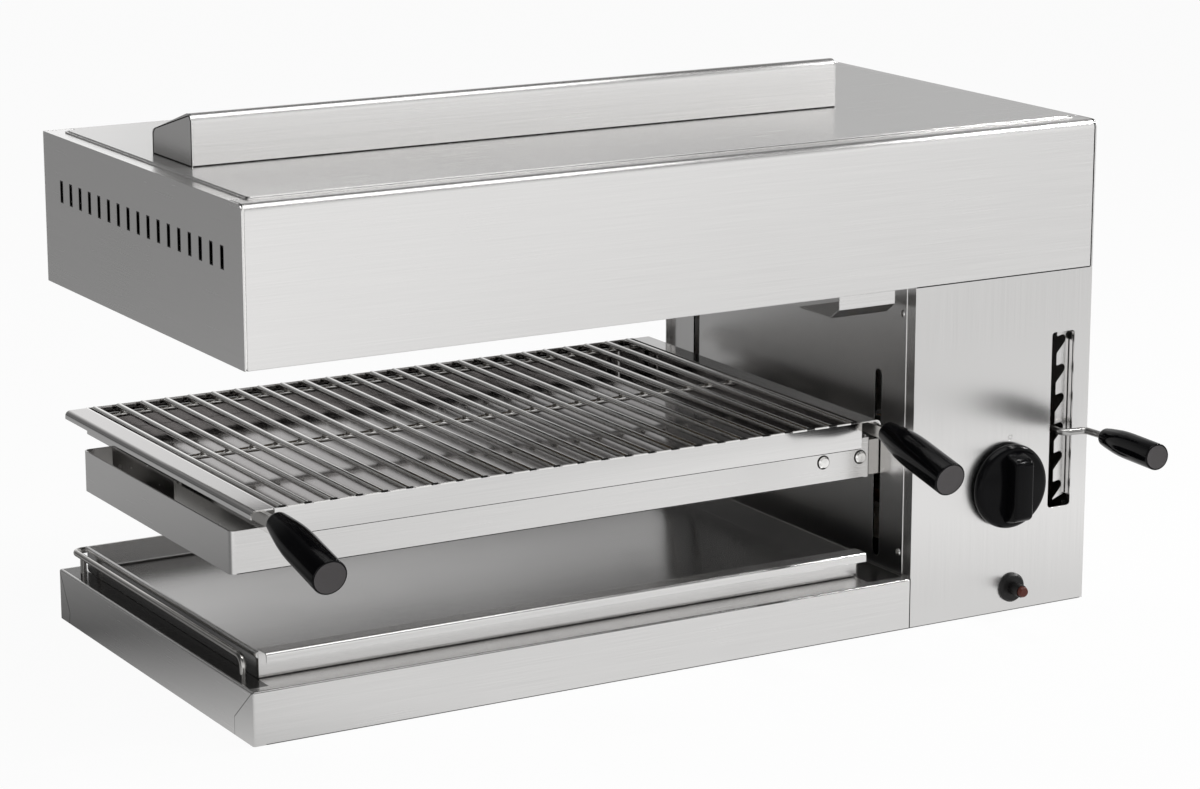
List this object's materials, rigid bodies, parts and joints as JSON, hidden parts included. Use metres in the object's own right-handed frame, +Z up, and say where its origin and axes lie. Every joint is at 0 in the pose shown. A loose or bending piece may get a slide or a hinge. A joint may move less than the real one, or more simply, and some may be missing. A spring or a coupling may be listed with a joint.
{
  "type": "gas salamander grill",
  "caption": "Countertop gas salamander grill: a burner hood carried on a side column over a grid pan that rises and falls, with a drip tray in its base.",
  "frame": {"origin": "centre of the footprint of the casing, on the underside of the floor pan", "axes": "+X towards the column at the right, +Y towards the back, +Z up"},
  "size_m": [0.8, 0.528, 0.469],
  "materials": {
    "casing_steel": "fine horizontal brushing",
    "inner_steel": "dull brushed sheet",
    "pan_steel": "brushed, nearly mirror-like",
    "rod_steel": "bright drawn rod",
    "spring_steel": "drawn wire",
    "black_bakelite": "glossy moulded",
    "red_plastic": "satin",
    "brass": "machined",
    "copper": "drawn tube",
    "cast_iron": "sand-cast",
    "ceramic": "unglazed"
  },
  "bodies": {
    "casing": {"floor_pan": "casing_steel", "base_cover": "casing_steel", "tray_rail": "rod_steel", "column_front_panel": "casing_steel", "column_side_plate": "inner_steel", "column_side_cover": "casing_steel", "column_back_cover": "casing_steel", "notch_rack": "casing_steel", "hood_front_panel": "casing_steel", "hood_left_end": "casing_steel", "hood_right_end": "casing_steel", "hood_back_panel": "casing_steel", "hood_underplate": "inner_steel", "hood_lid": "casing_steel", "flue_cover": "casing_steel", "flue_end_caps": "casing_steel", "burner_shroud": "inner_steel", "burner_body": "inner_steel", "burner_tiles": "ceramic", "burner_mesh": "inner_steel", "venturi_tube": "cast_iron", "gas_injector": "brass", "burner_feed_pipe": "copper", "gas_inlet_pipe": "copper", "inlet_fitting": "brass", "tap_body": "brass", "thermocouple": "copper", "ignition_electrode": "ceramic", "pilot_guard": "casing_steel", "igniter_body": "black_bakelite", "igniter_bezel": "black_bakelite", "guide_rods": "rod_steel", "guide_brackets": "inner_steel", "lift_springs": "spring_steel", "panel_screws": "casing_steel"},
    "carriage": {"carriage_frame": "pan_steel", "pan_runners": "rod_steel", "carriage_arms": "rod_steel", "carriage_bolts": "pan_steel", "lift_yoke": "rod_steel", "lift_bushes": "brass", "lever_bracket": "rod_steel", "lever_pin": "rod_steel"},
    "height_lever": {"lever_rod": "rod_steel", "lever_grip": "black_bakelite"},
    "grid_tray": {"grid_pan": "pan_steel", "grid_rods": "rod_steel", "grid_cross_bars": "rod_steel", "pan_stems": "rod_steel", "pan_grips": "black_bakelite"},
    "drip_tray": {"drip_tray": "pan_steel"},
    "tap_plug": {"tap_plug": "brass"},
    "tap_knob": {"tap_spindle": "rod_steel", "knob": "black_bakelite"},
    "igniter_button": {"igniter_button": "black_bakelite", "igniter_cap": "red_plastic"}
  },
  "joints": [
    {"name": "carriage_lift", "type": "slide", "parent": "casing", "child": "carriage", "axis": [0, 0, 1], "range_m": [-0.052, 0.078], "deforming": ["lift_springs"]},
    {"name": "lever_latch", "type": "hinge", "parent": "carriage", "child": "height_lever", "pos_m": [0.3672, -0.0475, 0.1555], "axis": [0, 0, 1], "range_deg": [0, 3.2]},
    {"name": "grid_slide", "type": "slide", "parent": "carriage", "child": "grid_tray", "axis": [0, -1, 0], "range_m": [0, 0.24]},
    {"name": "drip_tray_slide", "type": "slide", "parent": "casing", "child": "drip_tray", "axis": [0, -1, 0], "range_m": [0, 0.3]},
    {"name": "tap_turn", "type": "hinge", "parent": "casing", "child": "tap_plug", "pos_m": [0.314, -0.1975, 0.114], "axis": [0, -1, 0], "range_deg": [0, 210]},
    {"name": "tap_push", "type": "slide", "parent": "tap_plug", "child": "tap_knob", "axis": [0, 1, 0], "range_m": [0, 0.003], "stiffness_N_per_m": 2000, "springref_m": -0.002},
    {"name": "igniter_push", "type": "slide", "parent": "casing", "child": "igniter_button", "axis": [0, 1, 0], "range_m": [0, 0.005], "stiffness_N_per_m": 1500, "springref_m": -0.002}
  ]
}
